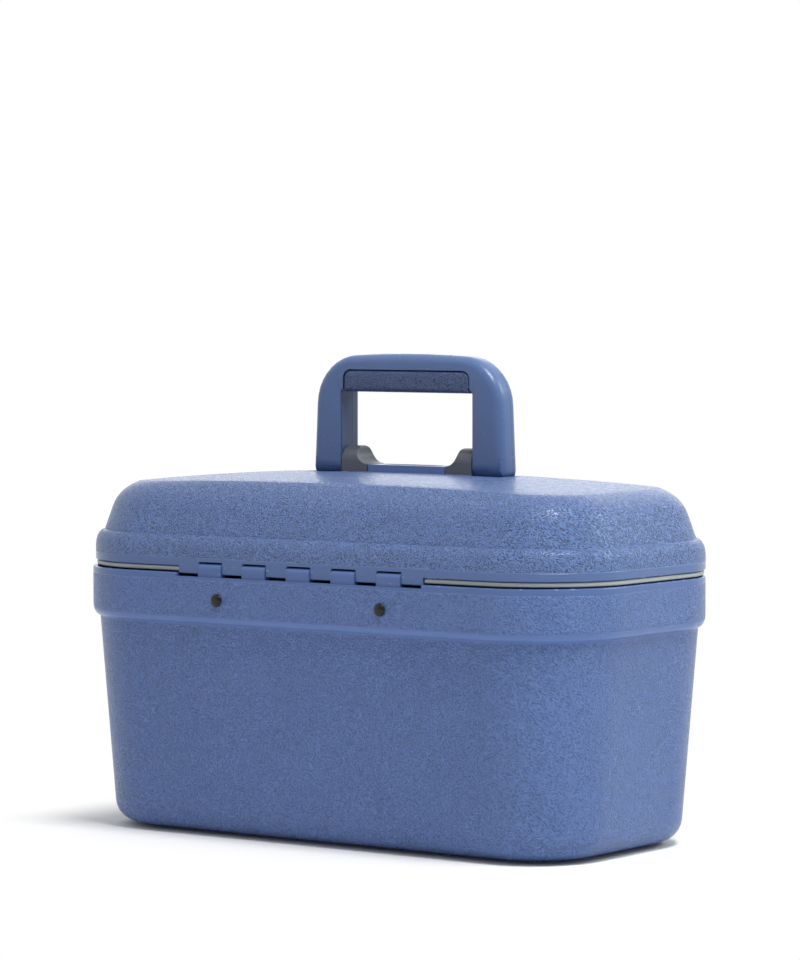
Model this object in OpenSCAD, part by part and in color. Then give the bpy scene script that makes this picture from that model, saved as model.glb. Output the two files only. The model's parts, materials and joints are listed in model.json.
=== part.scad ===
// Hard-shell beauty case: a belted base, a domed lid on a knuckle hinge, a folding
// handle and a number lock. X runs along the case, the hinge is at +Y, the lock at -Y.
// The origin is on the table under the middle of the base. All sizes are millimetres.

/* [Case] */
// Overall length of the case
case_l = 360; // [330:1:400]
// Overall depth of the base at its rim
case_d = 182.2; // [172:0.2:210]
// Height of the base's rim above the table
base_h = 152; // [142:1:172]
// Radius of the upright corners at the rim
corner_r = 57.8; // [52:0.2:62]
// Thickness of the moulded walls
wall = 2.6; // [2.2:0.1:3]
// Height of the raised belt under the base's rim
belt_h = 28.8; // [27:0.1:32]
// How far the belt stands out from the base's body
belt_step = 4.1; // [3.5:0.1:5]
// How far the base's body draws in from the belt to its lower edge
base_taper = 9.7; // [6:0.1:15]
// Radius between the base's sides and its floor
foot_r = 13; // [8:0.5:14]
// Height of the plinth that the base stands on
plinth_h = 2; // [1.5:0.1:3]
// How far the plinth lies in from the body's lower edge
plinth_in = 18; // [14:1:24]
// Rounding of the rims' outer edges
rim_round = 0.8; // [0.4:0.1:1]

/* [Lid] */
// Gap between the base's rim and the lid's rim
lid_gap = 3.6; // [3.4:0.1:4]
// How far the lid's back stands in from the base's back
lid_back_inset = 2.4; // [1.8:0.1:2.6]
// Height of the lid's upright belt above its rim
lid_belt_h = 8.4; // [8:0.2:12]
// Height of the belt's rounded shoulder, up to the crease
lid_shoulder_h = 9.2; // [8:0.1:12]
// How far the crease lies in from the belt
lid_step = 5.3; // [4.6:0.1:7]
// Height of the dome's sloping wall above the crease
dome_wall_h = 13.7; // [11:0.1:18]
// How far the dome's wall leans in, in degrees
dome_lean = 19.5; // [12:0.5:24]
// Radius between the dome's wall and its top
dome_r = 16.5; // [14:0.5:20]
// Rise of the crowned top above its edge
crown = 9.5; // [7:0.25:11]
// Height of the seal under the lid's rim
seal_h = 3.1; // [2.6:0.1:3.2]
// Thickness of the seal
seal_t = 1.6; // [1.2:0.1:1.8]
// How far the seal lies in from the lid's face
seal_inset = 0.8; // [0.6:0.1:1.2]

/* [Hinge] */
// How far the row of knuckles stands off the case's middle
hinge_x = 1.2; // [0:0.1:2]
// Number of hinge knuckles, lid and base together
knuckle_n = 11; // [7:2:15]
// Distance from one knuckle's middle to the next
knuckle_pitch = 15.7; // [12:0.1:16]
// Radius of the knuckles
knuckle_r = 3.2; // [3:0.1:3.4]
// Radius of the hinge pin
pin_r = 1; // [0.8:0.1:1.2]
// Height of the hinge axis above the base's rim
axis_up = 2.4; // [2.3:0.1:2.8]
// How far the hinge axis lies in from the lid's back
axis_in = 2; // [1.9:0.1:2.3]

/* [Handle] */
// Width of the handle across its feet
handle_w = 136.4; // [126:0.2:142]
// Height of the handle's top above its pivot
handle_h = 62.3; // [52:0.1:75]
// Thickness of the handle, front to back
handle_t = 17.5; // [15:0.5:18.5]
// Width of one leg at its foot
leg_w = 21.7; // [18:0.1:24]
// How far each leg narrows from its foot to its shoulder
leg_lean = 2; // [0:0.2:3]
// Height of the crossbar, grip included
bar_h = 21.5; // [18:0.5:25]
// Radius of the handle's outer corners
handle_r = 29; // [25:0.5:32]
// Rounding of the handle's outer edges
edge_r = 5.5; // [3:0.25:6]
// Height of the pivot above the blocks' seat
pivot_up = 7.7; // [7.2:0.1:8.6]
// Distance of the handle's pivot in front of the lid's middle
pivot_front = 19; // [10:0.5:25]
// Radius of the pivot pins
pivot_r = 2.5; // [2:0.1:3]
// Radius of the pivot blocks' round backs
block_r = 8.4; // [7.4:0.1:8.6]
// Length of each pivot block along the case
block_l = 18.3; // [17:0.1:21]
// Height of the plate between the pivot blocks
plate_h = 5.4; // [4.4:0.1:5.6]
// Height of the textured grip on the handle's crossbar
grip_h = 12; // [9:0.5:14]
// Length of the textured grip
grip_l = 90; // [75:0.5:91]

/* [Lock] */
// Width of the lock's body
lock_w = 50; // [46:1:60]
// Height of the lock's body
lock_h = 22; // [21.5:0.1:22]
// Thickness of the lock's body in front of the base
lock_t = 6.6; // [6.4:0.1:8]
// Radius of the number dials
dial_r = 4.6; // [4.4:0.1:4.8]
// Width of one dial
dial_w = 4.2; // [3.5:0.1:4.6]
// Distance between the dials
dial_pitch = 6; // [5.6:0.1:7]
// Width of the hinged hasp
hasp_w = 23; // [18:0.5:26]
// Thickness of the hasp
hasp_t = 3; // [2.6:0.1:3]
// Travel of the release slider
slider_travel = 3.5; // [2:0.1:3.8]

/* [Strap] */
// Distance between the two rivets on the back
rivet_pitch = 114.8; // [90:0.2:130]
// Radius of the rivets' domed heads
rivet_head_r = 3.7; // [3:0.1:4.5]
// Height of the rivets above the belt's lower edge
rivet_up = 14; // [12:0.5:16]
// Width of the elastic strap
strap_w = 18; // [12:1:20]
// Thickness of the elastic strap
strap_t = 1.2; // [0.8:0.1:1.4]

/* [Inside] */
// Depth of the lift-out tray below the ledge
tray_depth = 30; // [20:1:45]
// Thickness of the tray's walls
tray_wall = 1.8; // [1.4:0.1:2.4]
// Length of the mirror
mirror_l = 214; // [160:2:236]
// Height of the mirror across the lid
mirror_w = 82; // [60:1:86]
// Thickness of the mirror
mirror_t = 2.6; // [2:0.1:3]
// Height of the mirror frame's underside above the lid's rim
mirror_up = 34; // [32:0.5:35]

/* [Hidden] */
$fn = 96;

// Clearances
fit = 0.05; // radial clearance of a pin in its bore
seam = 0.1; // gap round a part that is let into another of the same body
run = 0.3; // gap between parts that move past each other
notch_gap = 0.4; // room beside the row of knuckles
under_gap = 1.2; // room under the lid's knuckles
over_gap = 0.8; // room above the base's knuckles
big = 400; // reach of the cutting boxes

// Case
cx = case_l / 2 - corner_r; // corner centre, along the case
cy = case_d / 2 - corner_r; // corner centre, across the base
back_y = case_d / 2;
front_y = -case_d / 2;
belt_z = base_h - belt_h; // lower edge of the base's belt
lean = atan(base_taper / (belt_z - plinth_h)); // lean of the base's body
body_u = corner_r - belt_step; // body's face under the belt, from the corner centre
belt_roll = 7; // height of the belt's round lower edge
foot_u = body_u - base_taper; // the same at the body's lower edge
plinth_u = foot_u - plinth_in;
ledge_z = belt_z + wall; // ledge inside the belt that carries the tray
inner_back_y = back_y - wall;
inner_front_y = front_y + wall;

// Lid
rim_z = base_h + lid_gap;
lid_cy = cy - lid_back_inset / 2; // half the lid's straight side
lid_y = -lid_back_inset / 2; // middle of the lid
lid_back_y = back_y - lid_back_inset;
belt_top_z = rim_z + lid_belt_h;
crease_z = belt_top_z + lid_shoulder_h;
crease_u = corner_r - lid_step;
dome_z = crease_z + dome_wall_h; // where the wall meets the dome's rounding
dome_u = crease_u - dome_wall_h * tan(dome_lean);
arc_u = dome_u - dome_r * cos(dome_lean); // centre of the dome's rounding
arc_z = dome_z - dome_r * sin(dome_lean);
top_z = arc_z + dome_r; // edge of the lid's top
// The crown is flat in the middle and falls towards the edges
function crown_at(x, y) = crown * (1 - pow(abs(x) * 2 / case_l, 2.9))
    * (1 - pow(abs(y - lid_y) / (lid_cy + corner_r), 3));

// Hinge
axis_y = lid_back_y - axis_in;
axis_z = base_h + axis_up;
hinge_half = knuckle_n * knuckle_pitch / 2;
base_more = 0.4; // a base knuckle's ends reach this much further than a lid knuckle's
function knuckle_half(i) = knuckle_pitch / 2 - 0.2 + (i % 2 == 0 ? -base_more : base_more);
function knuckle_x(i) = hinge_x + (i - (knuckle_n - 1) / 2) * knuckle_pitch;

// Handle
pivot_y = lid_y - pivot_front;
seat_z = top_z + crown_at(handle_w / 2, pivot_y) - 0.6; // flat seat of the blocks
pivot_z = seat_z + pivot_up;
leg_in = handle_w / 2 - leg_w; // inner face of a leg's foot
block_out = leg_in - run; // outer face of a block
block_in = block_out - block_l;
plate_half = block_in - run * 2;
foot_arc = handle_t / 2; // the legs' feet are round about the pivot
handle_top = pivot_z + handle_h;
opening_top = handle_top - bar_h;
pivot_len = leg_w * 0.66; // reach of a pin into its leg
well_floor = pivot_z - foot_arc - 0.45;
well_back = 4.6; // room behind a folded leg's foot
boss_z = well_floor - wall; // underside of the thick pad inside the lid
boss_x = handle_w / 2 + wall + 4;
boss_top = top_z + crown_at(boss_x, pivot_y - foot_arc - wall - 3) - 0.6;
plate_t = 1.5; // backing plate
screw_r = 2;
screw_head_h = 2.2;
block_screw_x = block_in + 4.8;
plate_screw_x = 14;

// Mirror
frame_z = rim_z + mirror_up;
frame_t = 5;
mirror_lip = 3;
mirror_z = frame_z + frame_t - mirror_t - 0.2;
backing_t = 0.8;
post_z = frame_z + frame_t + backing_t;
post_r = 4;
frame_rim = 10.5; // frame's border round the mirror
post_x = mirror_l / 2 - 4 + frame_rim / 2;
post_y = mirror_w / 2 + frame_rim / 2;

// Lock
lock_z = base_h - 1.4 - lock_h;
lock_face = front_y - lock_t;
cheek = 1.2; // thin walls of the lock's body
dial_z = lock_z + cheek + 5.2;
dial_y = lock_face + dial_r - 1.2;
dial_half = dial_pitch + dial_w / 2 + 0.6; // half the dials' chamber
chamber_h = dial_r + 0.6;
axle_r = 1.2;
step_z = dial_z + chamber_h + cheek; // step that the hasp closes on
step_y = front_y - 3;
hasp_z = rim_z + 6.9; // hasp's pin
hasp_y = step_y - run - hasp_t / 2;
barrel_r = 2.4;
ear_w = 3.5;
slider_w = 4.5;
slider_h = 5.8;
slider_x = dial_half + 3.4 + slider_w / 2;
slider_sink = 2.4;
lock_screw_x = lock_w / 2 - 5;
lock_screw_z = lock_z + lock_h - 5.4;
lock_screw_r = 1.5;
bracket_screw_x = hasp_w / 2 + ear_w / 2 + 0.3;
bracket_z = rim_z + 2.9;
bracket_half = hasp_w / 2 + run + ear_w;

// Rivets
rivet_z = belt_z + rivet_up;
knuckle_foot_z = rivet_z + strap_w / 2 + run; // the knuckles' feet stay above the strap
rivet_r = 1.5;
washer_t = 0.8;
washer_r = 4;

// Tray
tray_top = ledge_z + 2.4;
tray_floor = ledge_z - tray_depth;
tray_side = 0.7; // gap beside the tray
tray_cut = back_y - wall - 3.6; // the flange stops short of the strap and the lock
tray_long_y = 14; // wall along the tray

// An arc's points from angle a0 to angle a1
function arc(x, y, r, a0, a1, n) =
    [for (i = [0:n]) let (a = a0 + (a1 - a0) * i / n) [x + r * cos(a), y + r * sin(a)]];
// Face of the base's body at height z, outside and inside
function body_at(z) = foot_u + (z - plinth_h) * tan(lean);
function inner_at(z) = body_at(z) - wall / cos(lean);
function fillet_u(u, r) = u - r / cos(lean);
function tray_u(z) = inner_at(z) - tray_side;

// Outline of the base's wall, floor included, as distance from the corner centre
// and height
fillet_z = foot_r + plinth_h;
base_profile = concat(
    [[0, 0], [plinth_u, 0], [plinth_u, plinth_h]],
    arc(fillet_u(body_at(fillet_z), foot_r), fillet_z, foot_r, -90, -lean, 6),
    [for (a = [-90:15:0]) [body_u + belt_step * cos(a), belt_z + belt_roll * (1 + sin(a))]],
    arc(corner_r - rim_round, base_h - rim_round, rim_round, 0, 90, 2),
    [[corner_r - wall, base_h], [corner_r - wall, ledge_z], [inner_at(ledge_z), ledge_z]],
    arc(fillet_u(inner_at(fillet_z), foot_r - wall), fillet_z, foot_r - wall, -lean, -90, 5),
    [[plinth_u - wall, plinth_h + wall], [plinth_u - wall, wall], [0, wall]]);

// Carries a wall's outline round a rectangle with round corners. a and b are the corner
// centres; fill is the bottom and top of the slab in the middle.
module swept(profile, a, b, fill = [0, 0]) {
    for (i = [0:3]) {
        out = i % 2 == 0 ? a : b;
        along = i % 2 == 0 ? b : a;
        rotate([0, 0, 90 * i]) {
            translate([out, along, 0]) rotate([90, 0, 0]) linear_extrude(2 * along) polygon(profile);
            translate([out, along, 0]) rotate_extrude(angle = 90) polygon(profile);
        }
    }
    if (fill[1] > fill[0]) translate([-a, -b, fill[0]]) cube([2 * a, 2 * b, fill[1] - fill[0]]);
}

// A box given by its lowest and highest corners
module block3(lo, hi) {
    translate(lo) cube(hi - lo);
}

// A cylinder along X, from x0 to x1
module rod_x(r, x0, x1, y, z) {
    translate([x0, y, z]) rotate([0, 90, 0]) cylinder(r = r, h = x1 - x0);
}

// A cylinder along Y, from y0 to y1
module rod_y(r, x, y0, y1, z) {
    translate([x, y0, z]) rotate([-90, 0, 0]) cylinder(r = r, h = y1 - y0);
}

// A rectangle with round corners, centred
module round_rect(w, h, r) {
    square([w - 2 * r, h], center = true);
    square([w, h - 2 * r], center = true);
    for (sx = [-1, 1], sy = [-1, 1]) translate([sx * (w / 2 - r), sy * (h / 2 - r)]) circle(r = r);
}

// A domed head on a shank, along +Z, its seat at z = 0
module dome_screw(head_r, head_h, shank_r, shank_l) {
    rotate_extrude() polygon(concat([[0, -shank_l], [shank_r, -shank_l], [shank_r, 0]],
        [for (a = [0:15:90]) [head_r * cos(a), 0.4 * head_h + 0.6 * head_h * sin(a)]]));
}

// ---------------------------------------------------------------- base

module base_shell() color([0.35, 0.43, 0.6]) {
    difference() {
        union() {
            difference() {
                swept(base_profile, cx, cy, [0, wall]);
                // notch that the knuckles turn in
                block3([hinge_x - hinge_half + base_more - notch_gap, inner_back_y - wall,
                    axis_z - knuckle_r - under_gap],
                    [hinge_x + hinge_half - base_more + notch_gap, back_y + 1, base_h + 1]);
                // window behind the dials
                block3([-dial_half, front_y - 1, dial_z - chamber_h],
                    [dial_half, inner_front_y + 1, dial_z + chamber_h]);
            }
            // knuckles that grow out of the belt
            for (i = [1:2:knuckle_n - 2]) {
                rod_x(knuckle_r, knuckle_x(i) - knuckle_half(i), knuckle_x(i) + knuckle_half(i),
                    axis_y, axis_z);
                block3([knuckle_x(i) - knuckle_half(i), axis_y - 1.4, knuckle_foot_z],
                    [knuckle_x(i) + knuckle_half(i), axis_y + knuckle_r, axis_z]);
            }
        }
        rod_x(pin_r + fit, hinge_x - hinge_half, hinge_x + hinge_half, axis_y, axis_z);
        for (s = [-1, 1]) {
            rod_y(rivet_r + fit, s * rivet_pitch / 2, inner_back_y - 1, back_y + 1, rivet_z);
            rod_y(screw_r, s * lock_screw_x, front_y - 1, inner_front_y + 1, lock_screw_z);
        }
    }
}

module hinge_pin() color([0.75, 0.76, 0.78])
    rod_x(pin_r, hinge_x - hinge_half + 0.8, hinge_x + hinge_half - 0.8, axis_y, axis_z);

module rivet(s) color([0.12, 0.12, 0.13]) {
    tail = wall + strap_t + washer_t + 2 * seam;
    translate([s * rivet_pitch / 2, back_y, rivet_z]) rotate([-90, 0, 0]) {
        dome_screw(rivet_head_r, 2, rivet_r, tail);
        translate([0, 0, -tail]) mirror([0, 0, 1]) dome_screw(2.4, 0.9, rivet_r, 0.01);
    }
}

module rivet_left() rivet(-1);
module rivet_right() rivet(1);

module rivet_washers() color([0.7, 0.71, 0.73])
    for (s = [-1, 1]) difference() {
        rod_y(washer_r, s * rivet_pitch / 2, inner_back_y - strap_t - washer_t - seam * 2,
            inner_back_y - strap_t - seam * 2, rivet_z);
        rod_y(rivet_r + fit, s * rivet_pitch / 2, inner_back_y - 6, inner_back_y, rivet_z);
    }

module elastic_strap() color([0.13, 0.14, 0.17])
    difference() {
        translate([0, inner_back_y - seam, rivet_z]) rotate([90, 0, 0]) linear_extrude(strap_t)
            round_rect(rivet_pitch + 2 * washer_r + 8, strap_w, 1.5);
        for (s = [-1, 1]) rod_y(rivet_r + fit, s * rivet_pitch / 2, inner_back_y - 6, back_y, rivet_z);
    }

module lock_body() color([0.62, 0.63, 0.65])
    difference() {
        translate([0, front_y, lock_z + lock_h / 2]) rotate([90, 0, 0]) linear_extrude(lock_t)
            round_rect(lock_w, lock_h, 3.5);
        // step that the hasp closes on, and the channel for its hook
        block3([-hasp_w / 2 - 0.5, lock_face - 1, step_z], [hasp_w / 2 + 0.5, step_y, base_h]);
        block3([-3.5, lock_face - 1, step_z + 0.5], [3.5, front_y + 1, base_h]);
        // chamber and windows of the dials
        block3([-dial_half, lock_face + cheek, dial_z - chamber_h],
            [dial_half, front_y + 1, dial_z + chamber_h]);
        for (i = [-1:1]) block3([i * dial_pitch - dial_w / 2 - 0.25, lock_face - 1, dial_z - dial_r + 0.2],
            [i * dial_pitch + dial_w / 2 + 0.25, lock_face + cheek + 1, dial_z + dial_r - 0.2]);
        rod_x(axle_r + 0.02, -dial_half - 2, dial_half + 2, dial_y, dial_z);
        // pocket of the release slider
        block3([slider_x - slider_w / 2 - run, lock_face - 1, dial_z - slider_h / 2 - run],
            [slider_x + slider_w / 2 + slider_travel + run, lock_face + slider_sink,
                dial_z + slider_h / 2 + run]);
        for (s = [-1, 1]) rod_y(lock_screw_r + 0.02, s * lock_screw_x, lock_face + cheek, front_y + 1,
            lock_screw_z);
    }

module lock_backplate() color([0.55, 0.56, 0.58])
    difference() {
        translate([0, inner_front_y + 1.2, lock_z + lock_h / 2]) rotate([90, 0, 0]) linear_extrude(1.2)
            round_rect(lock_w, lock_h, 3.5);
        for (s = [-1, 1]) rod_y(lock_screw_r + 0.1, s * lock_screw_x, inner_front_y - 1,
            inner_front_y + 3, lock_screw_z);
    }

module lock_screws() color([0.75, 0.76, 0.78])
    for (s = [-1, 1]) translate([s * lock_screw_x, inner_front_y + 1.2, lock_screw_z])
        rotate([-90, 0, 0]) dome_screw(2.7, 1.5, lock_screw_r, 1.2 + wall + lock_t - cheek - 0.4);

module dial_axle() color([0.75, 0.76, 0.78])
    rod_x(axle_r, -dial_half - 1.8, dial_half + 1.8, dial_y, dial_z);

module dial(i) color([0.1, 0.1, 0.11])
    translate([i * dial_pitch - dial_w / 2, dial_y, dial_z]) rotate([0, 90, 0]) difference() {
        cylinder(r = dial_r, h = dial_w);
        translate([0, 0, -1]) cylinder(r = axle_r + fit, h = dial_w + 2);
        // ten finger grooves between the numbers
        for (k = [0:9]) rotate([0, 0, 36 * k + 18]) translate([dial_r + 0.5, 0, -1])
            cylinder(r = 0.9, h = dial_w + 2, $fn = 24);
    }

module dial_left() dial(-1);
module dial_middle() dial(0);
module dial_right() dial(1);

module release_slider() color([0.2, 0.2, 0.22])
    translate([slider_x - slider_w / 2, lock_face - 1.1, dial_z - slider_h / 2]) difference() {
        cube([slider_w, slider_sink + 1.1 - 0.2, slider_h]);
        for (k = [0:2]) translate([0.9 + k * 1.1, -1, -1]) cube([0.5, 1.5, slider_h + 2]);
    }

// ---------------------------------------------------------------- tray

tray_profile = [[0, tray_floor], [tray_u(tray_floor) - 2, tray_floor],
    [tray_u(tray_floor + 2), tray_floor + 2],
    [tray_u(ledge_z), ledge_z - 0.2], [tray_u(ledge_z), ledge_z + 0.2],
    [corner_r - wall - 0.5, ledge_z + 0.2], [corner_r - wall - 0.5, tray_top],
    [tray_u(ledge_z) - tray_wall, tray_top],
    [tray_u(tray_floor + 2) - tray_wall, tray_floor + tray_wall + 1],
    [0, tray_floor + tray_wall]];

module organiser_tray() color([0.78, 0.79, 0.82])
    difference() {
        union() {
            swept(tray_profile, cx, cy, [tray_floor, tray_floor + tray_wall]);
            intersection() {
                swept([[0, tray_floor], [tray_u(tray_floor) - 2, tray_floor],
                    [tray_u(ledge_z) - 1, ledge_z - 0.2], [tray_u(ledge_z) - 1, tray_top],
                    [0, tray_top]], cx, cy, [tray_floor, tray_top]);
                union() {
                    // one wall along the tray and three across it
                    block3([-big, tray_long_y - tray_wall / 2, tray_floor + 1],
                        [big, tray_long_y + tray_wall / 2, tray_top - 2]);
                    for (x = [-1, 1]) block3([x * cx / 2 - tray_wall / 2, -big, tray_floor + 1],
                        [x * cx / 2 + tray_wall / 2, tray_long_y, tray_top - 2]);
                    block3([-tray_wall / 2, tray_long_y, tray_floor + 1],
                        [tray_wall / 2, big, tray_top - 2]);
                }
            }
        }
        for (s = [-1, 1]) block3([-big, s > 0 ? tray_cut : -tray_cut - big, tray_floor - 1],
            [big, s > 0 ? tray_cut + big : -tray_cut, tray_top + 1]);
        // finger notches at both ends
        for (s = [-1, 1]) rod_x(9, s * (cx + corner_r) - 25, s * (cx + corner_r) + 25, 0, tray_top + 2);
    }

// ---------------------------------------------------------------- lid

// Points of one ring round the lid, at distance u from the corner centres
corner_steps = 12;
dome_steps = 8;
side_x = 10; // stretches along the long sides
side_y = 3;
function lid_ring(u) = [for (q = [0:3], k = [0:corner_steps + (q % 2 == 0 ? side_x : side_y) - 1])
    let (c = [cx * (q == 0 || q == 3 ? 1 : -1), lid_cy * (q < 2 ? 1 : -1)],
        d = [cx * (q == 1 || q == 0 ? -1 : 1), lid_cy * (q == 1 || q == 2 ? -1 : 1)],
        n = q % 2 == 0 ? side_x : side_y,
        a = 90 * q + 90 * min(k, corner_steps) / corner_steps,
        t = max(0, k - corner_steps) / n)
    [c[0] + u * cos(a) + t * (d[0] - c[0]) * (q % 2 == 0 ? 1 : 0),
        lid_y + c[1] + u * sin(a) + t * (d[1] - c[1]) * (q % 2 == 0 ? 0 : 1)]];

// The dome's outline, inset by t: distance from the corner centre, height, and how much
// of the crown it takes
function lid_rows(t) = concat(
    t == 0 ? [[corner_r - 0.5, rim_z, 0], [corner_r, rim_z + 0.5, 0], [corner_r, rim_z + 5, 0]]
        : [[corner_r - t, rim_z, 0]],
    [[corner_r - t, belt_top_z - t / 3, 0]],
    [for (a = [18, 36, 54, 72]) [crease_u + (lid_step - t * 0.9) * cos(a),
        belt_top_z - t / 3 + (lid_shoulder_h - t * 0.6) * sin(a), 0]],
    [[crease_u - t, crease_z - t * 0.5, 0]],
    [for (i = [0:dome_steps]) let (a = dome_lean + (90 - dome_lean) * i / dome_steps)
        [arc_u + (dome_r - t) * cos(a), arc_z + (dome_r - t) * sin(a), pow(i / dome_steps, 1.5)]]);

crown_rings = [0.93, 0.82, 0.66, 0.45, 0.22];
function lid_points(t) = concat(
    [for (r = lid_rows(t)) for (p = lid_ring(r[0])) [p[0], p[1], r[1] + r[2] * crown_at(p[0], p[1])]],
    [for (w = crown_rings) for (p = lid_ring(arc_u))
        [w * p[0], lid_y + w * (p[1] - lid_y),
            top_z - t + crown_at(w * p[0], lid_y + w * (p[1] - lid_y))]],
    [[0, lid_y, top_z - t + crown]]);

ring_n = len(lid_ring(1));

// Triangles between rings that follow each other from index first, flipped or not
function skin(first, rows, flip) = [for (j = [0:rows - 2], i = [0:ring_n - 1])
    let (a = first + j * ring_n + i, b = first + j * ring_n + (i + 1) % ring_n)
    each flip ? [[a, b, b + ring_n], [a, b + ring_n, a + ring_n]]
        : [[a, b + ring_n, b], [a, a + ring_n, b + ring_n]]];

function cap(ring, tip, flip) = [for (i = [0:ring_n - 1])
    flip ? [ring + i, ring + (i + 1) % ring_n, tip] : [ring + (i + 1) % ring_n, ring + i, tip]];

module lid_dome() {
    outer = lid_points(0);
    inner = lid_points(wall);
    n_out = len(lid_rows(0)) + len(crown_rings);
    n_in = len(lid_rows(wall)) + len(crown_rings);
    base_in = len(outer);
    polyhedron(points = concat(outer, inner), convexity = 8,
        faces = concat(skin(0, n_out, false),
            cap((n_out - 1) * ring_n, n_out * ring_n, false),
            skin(base_in, n_in, true),
            cap(base_in + (n_in - 1) * ring_n, base_in + n_in * ring_n, true),
            [for (i = [0:ring_n - 1]) each [[i, (i + 1) % ring_n, base_in + (i + 1) % ring_n],
                [i, base_in + (i + 1) % ring_n, base_in + i]]]));
}

module lid_shell() color([0.36, 0.45, 0.62])
    difference() {
        union() {
            difference() {
                lid_dome();
                // notch that the base's knuckles turn in
                block3([hinge_x - hinge_half + knuckle_pitch - base_more - notch_gap, axis_y - 6,
                    rim_z - 1],
                    [hinge_x + hinge_half - knuckle_pitch + base_more + notch_gap, back_y + 1,
                        axis_z + knuckle_r + over_gap]);
            }
            // knuckles, flush with the lid's back
            intersection() {
                for (i = [0:2:knuckle_n - 1]) {
                    rod_x(knuckle_r, knuckle_x(i) - knuckle_half(i), knuckle_x(i) + knuckle_half(i),
                        axis_y, axis_z);
                    block3([knuckle_x(i) - knuckle_half(i), axis_y - 1.4, axis_z],
                        [knuckle_x(i) + knuckle_half(i), lid_back_y + 1, belt_top_z - 3]);
                }
                block3([-big, axis_y - knuckle_r - 1, base_h - 10], [big, lid_back_y, big]);
            }
            // thick pad under the handle
            block3([-boss_x, pivot_y - foot_arc - wall - 3, boss_z],
                [boss_x, pivot_y + foot_arc + well_back + wall, boss_top]);
            // posts that carry the mirror
            for (sx = [-1, 1], sy = [-1, 1]) translate([sx * post_x, lid_y + sy * post_y, post_z])
                cylinder(r = post_r, h = top_z + crown_at(post_x, lid_y + post_y) - wall / 2 - post_z);
        }
        rod_x(pin_r + fit, hinge_x - hinge_half - 1, hinge_x + hinge_half + 1, axis_y, axis_z);
        // seat of the pivot blocks and their plate
        block3([-leg_in, pivot_y - block_r - seam, seat_z], [leg_in, pivot_y + block_r + seam, big]);
        // wells that the legs' feet turn in
        for (s = [-1, 1]) translate([s * (block_out + handle_w / 2 + 0.8) / 2, 0, 0])
            block3([-(handle_w / 2 + 0.8 - block_out) / 2, pivot_y - foot_arc - 0.6, well_floor],
                [(handle_w / 2 + 0.8 - block_out) / 2, pivot_y + foot_arc + well_back, big]);
        for (s = [-1, 1], x = [block_screw_x, plate_screw_x])
            translate([s * x, pivot_y, boss_z - 1]) cylinder(r = screw_r + 0.2, h = 12);
        for (sx = [-1, 1], sy = [-1, 1]) translate([sx * post_x, lid_y + sy * post_y, post_z - 1])
            cylinder(r = 1.22, h = 7);
        for (s = [-1, 1]) rod_y(1.22, s * bracket_screw_x, front_y - 1, front_y + wall + 1, bracket_z);
    }

// The seal is a bead: flat inside, rounded outside
seal_bulge = 1;
seal_profile = concat([[corner_r - seal_inset - seal_t, rim_z - seal_h]],
    [for (a = [-90:22.5:90]) [corner_r - seal_inset - seal_bulge * (1 - cos(a)),
        rim_z - seal_h / 2 + seal_h / 2 * sin(a)]],
    [[corner_r - seal_inset - seal_t, rim_z]]);

module rim_seal() color([0.66, 0.68, 0.7])
    difference() {
        translate([0, lid_y, 0]) swept(seal_profile, cx, lid_cy);
        block3([hinge_x - hinge_half - 0.1, axis_y - 6, base_h - 2],
            [hinge_x + hinge_half + 0.1, back_y, rim_z + 1]);
    }

// Block at the handle's foot: a round hump along X, cut by a ramp that sweeps down to
// the plate
module pivot_block() color([0.29, 0.31, 0.35]) {
    ramp_r = block_r - 0.6;
    toe_z = seat_z + plate_h + 0.2;
    ramp_x = block_in + ramp_r;
    top = pivot_z + block_r;
    difference() {
        intersection() {
            translate([0, pivot_y + block_r, 0]) rotate([90, 0, 0]) linear_extrude(2 * block_r)
                polygon(concat([[block_out, seat_z], [block_in, seat_z], [block_in, toe_z]],
                    arc(block_in, toe_z + ramp_r, ramp_r, -90, 0, 10),
                    arc(ramp_x + 1.6, top - 1.6, 1.6, 180, 90, 4), [[block_out, top]]));
            union() {
                rod_x(block_r, 0, big, pivot_y, pivot_z);
                block3([0, pivot_y - block_r, 0], [big, pivot_y + block_r, pivot_z]);
            }
        }
        rod_x(pivot_r + 0.02, ramp_x + 1, big, pivot_y, pivot_z);
        translate([block_screw_x, pivot_y, seat_z - 1]) cylinder(r = screw_r + 0.02, h = 5);
    }
}

module pivot_block_left() mirror([1, 0, 0]) pivot_block();
module pivot_block_right() pivot_block();

module pivot_pins() color([0.75, 0.76, 0.78])
    for (s = [-1, 1]) mirror([s < 0 ? 1 : 0, 0, 0])
        rod_x(pivot_r, block_in + block_r + 0.8, block_out + pivot_len, pivot_y, pivot_z);

// Plate between the blocks, with a shallow oval hollow in its top
module mount_plate() color([0.35, 0.42, 0.57])
    difference() {
        translate([0, pivot_y, seat_z]) linear_extrude(plate_h) round_rect(2 * plate_half, 2 * block_r, 0.6);
        translate([0, pivot_y, seat_z + plate_h]) scale([plate_half * 0.78, block_r * 0.72, 0.8])
            sphere(r = 1, $fn = 40);
        for (s = [-1, 1]) translate([s * plate_screw_x, pivot_y, seat_z - 1])
            cylinder(r = 1.5, h = 1 + plate_h - 1.4);
    }

module backing_plate() color([0.6, 0.61, 0.63])
    difference() {
        translate([0, pivot_y + (well_back - 3) / 2, boss_z - plate_t]) linear_extrude(plate_t)
            round_rect(2 * boss_x - 4, 2 * foot_arc + well_back, 3);
        for (s = [-1, 1], x = [block_screw_x, plate_screw_x])
            translate([s * x, pivot_y, boss_z - 5]) cylinder(r = screw_r + 0.2, h = 12);
    }

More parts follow.
